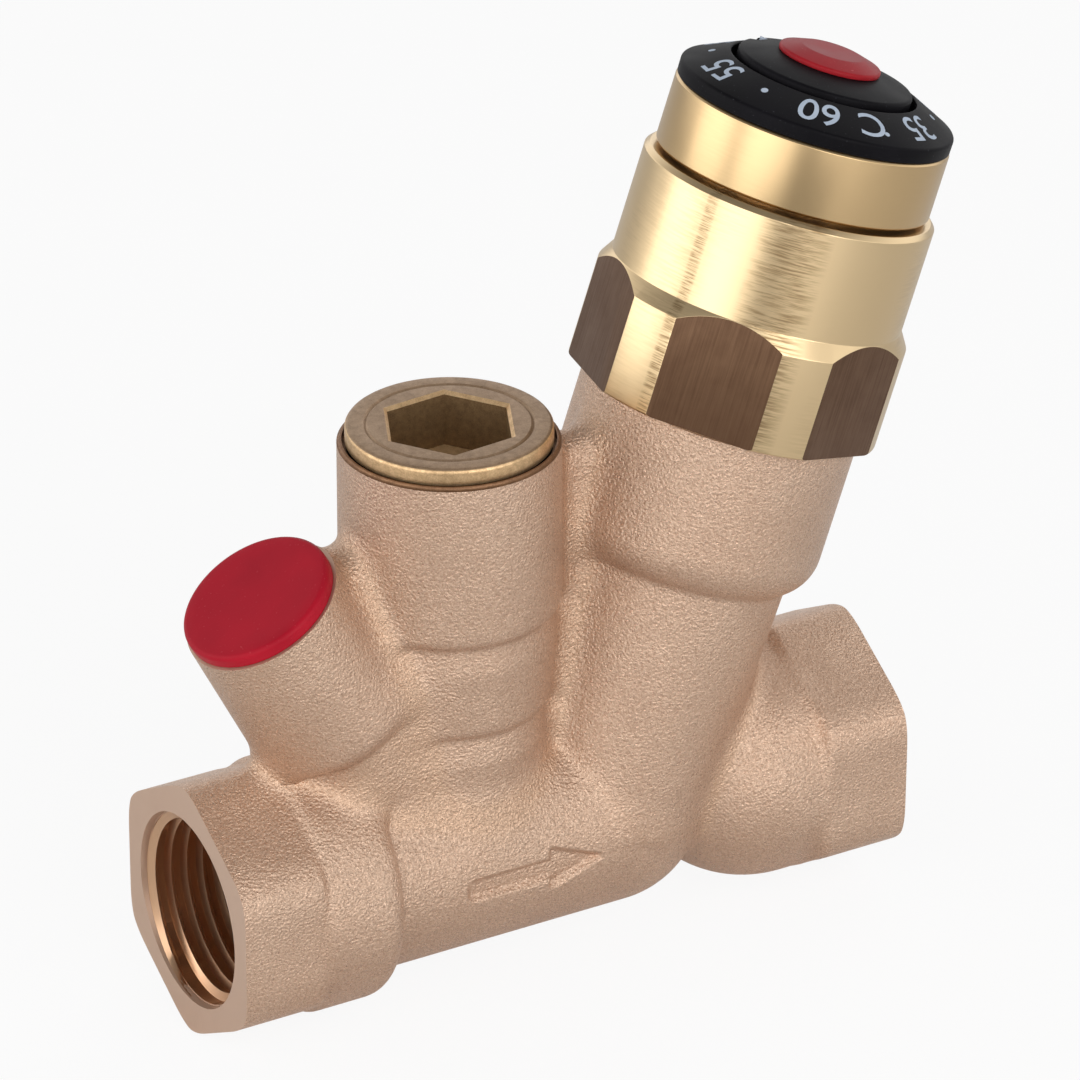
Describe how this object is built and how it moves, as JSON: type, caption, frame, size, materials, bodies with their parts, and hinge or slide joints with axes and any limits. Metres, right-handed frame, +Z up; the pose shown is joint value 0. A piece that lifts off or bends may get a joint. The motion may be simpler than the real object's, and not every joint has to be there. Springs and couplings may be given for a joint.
{
  "type": "circulation valve",
  "caption": "Slanted-seat circulation valve for hot-water loops: cast bronze body with hexagon ends, brass bonnet, temperature dial, socket-plugged port and a capped sensor pocket.",
  "frame": {"origin": "centre of the inlet face, where the pipe screws in", "axes": "+X along the run, the way the water flows; +Z up along the port; Y = 0 is the casting's plane of symmetry"},
  "size_m": [0.0868, 0.0328, 0.0938],
  "materials": {
    "cast_bronze": "matte",
    "turned_brass": "satin",
    "dull_brass": "matte",
    "copper": "satin",
    "steel": "satin",
    "seal_rubber": "matte",
    "black_plastic": "satin",
    "red_plastic": "satin",
    "pale_plastic": "matte"
  },
  "bodies": {
    "housing": {"valve_body": "cast_bronze", "bonnet": "turned_brass", "bonnet_seal": "seal_rubber", "scale_carrier": "turned_brass", "dial_ring": "black_plastic", "port_plug": "dull_brass", "port_gasket": "seal_rubber", "pocket_plug": "red_plastic", "return_spring": "steel", "bypass_spring": "steel"},
    "setting": {"setting_spindle": "turned_brass", "spindle_seals": "seal_rubber", "thrust_washer": "pale_plastic", "index_disc": "black_plastic", "lock_screw": "steel", "spindle_cap": "red_plastic"},
    "sleeve": {"spring_sleeve": "turned_brass", "retaining_ring": "steel", "overtravel_spring": "steel"},
    "plate": {"spring_plate": "steel", "element_piston": "steel"},
    "cone": {"control_cone": "pale_plastic", "cone_seal": "seal_rubber", "wax_element": "copper"},
    "bypass": {"bypass_cone": "turned_brass", "bypass_seal": "seal_rubber"}
  },
  "joints": [
    {"name": "setting_turn", "type": "hinge", "parent": "housing", "child": "setting", "pos_m": [0.04775, 0, 0], "axis": [0.3256, 0, 0.9455], "range_deg": [-180, 120]},
    {"name": "sleeve_travel", "type": "slide", "parent": "housing", "child": "sleeve", "axis": [0.3256, 0, 0.9455], "range_m": [-0.00075, 0.0005]},
    {"name": "overtravel", "type": "slide", "parent": "sleeve", "child": "plate", "axis": [0.3256, 0, 0.9455], "range_m": [0, 0.002], "stiffness_N_per_m": 8000, "deforming": ["overtravel_spring"]},
    {"name": "cone_stroke", "type": "slide", "parent": "plate", "child": "cone", "axis": [-0.3256, 0, -0.9455], "range_m": [0, 0.0022], "stiffness_N_per_m": 1500, "deforming": ["return_spring"]},
    {"name": "bypass_lift", "type": "slide", "parent": "housing", "child": "bypass", "axis": [0, 0, 1], "range_m": [0, 0.002], "stiffness_N_per_m": 600, "deforming": ["bypass_spring"]}
  ],
  "couplings": [
    {"joint": "setting_turn", "follows": "sleeve_travel", "rad_per_m": 4188.8}
  ]
}
